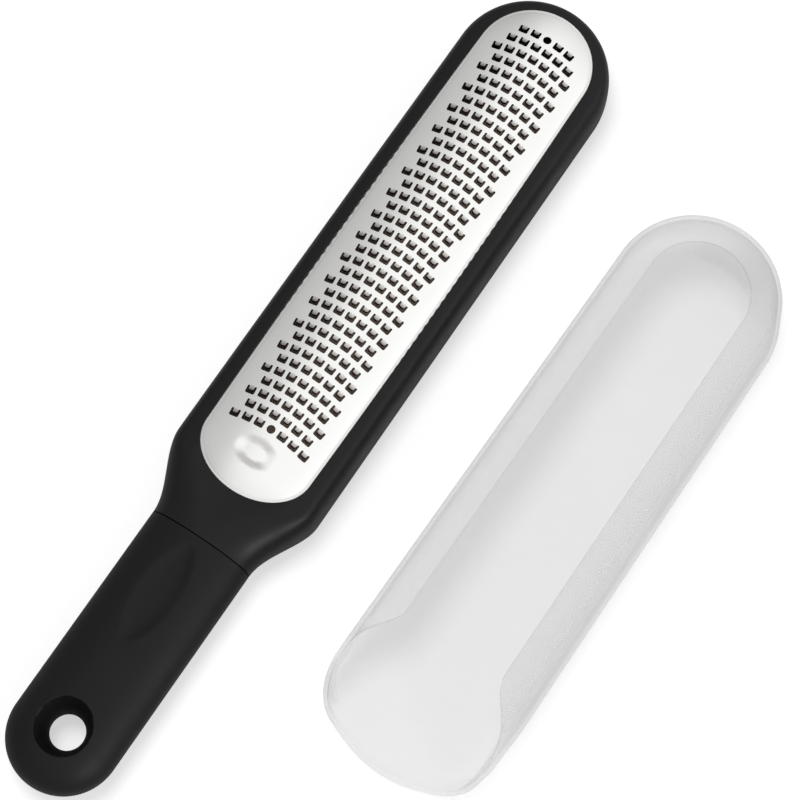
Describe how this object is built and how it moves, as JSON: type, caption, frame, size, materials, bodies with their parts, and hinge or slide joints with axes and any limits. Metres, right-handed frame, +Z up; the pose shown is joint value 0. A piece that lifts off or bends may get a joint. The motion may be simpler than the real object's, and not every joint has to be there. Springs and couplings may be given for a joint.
{
  "type": "ginger grater",
  "caption": "Hand-held ginger and citrus grater: domed etched steel plate in a long black head frame with a soft grip and hanging hole, and a translucent slip-on cover lying beside it.",
  "frame": {"origin": "bottom centre of the box round everything: the middle between grater and cover, on the surface that both lie on", "axes": "+Y along the grater from grip to tip, +X from the grater to the cover, +Z up out of the plate's cutting side"},
  "size_m": [0.1158, 0.2478, 0.0253],
  "materials": {
    "satin_black_plastic": "satin",
    "satin_stainless_steel": "satin",
    "soft_black_grip": "matte",
    "translucent_white_plastic": "translucent matte"
  },
  "bodies": {
    "grater": {"head_frame": "satin_black_plastic", "grater_plate": "satin_stainless_steel", "handle_grip": "soft_black_grip"},
    "cover_body": {"cover": "translucent_white_plastic"}
  },
  "joints": [
    {"name": "cover_lift", "type": "slide", "parent": "grater", "child": "cover_body", "axis": [0, 0, 1], "range_m": [0, 0.06]}
  ]
}
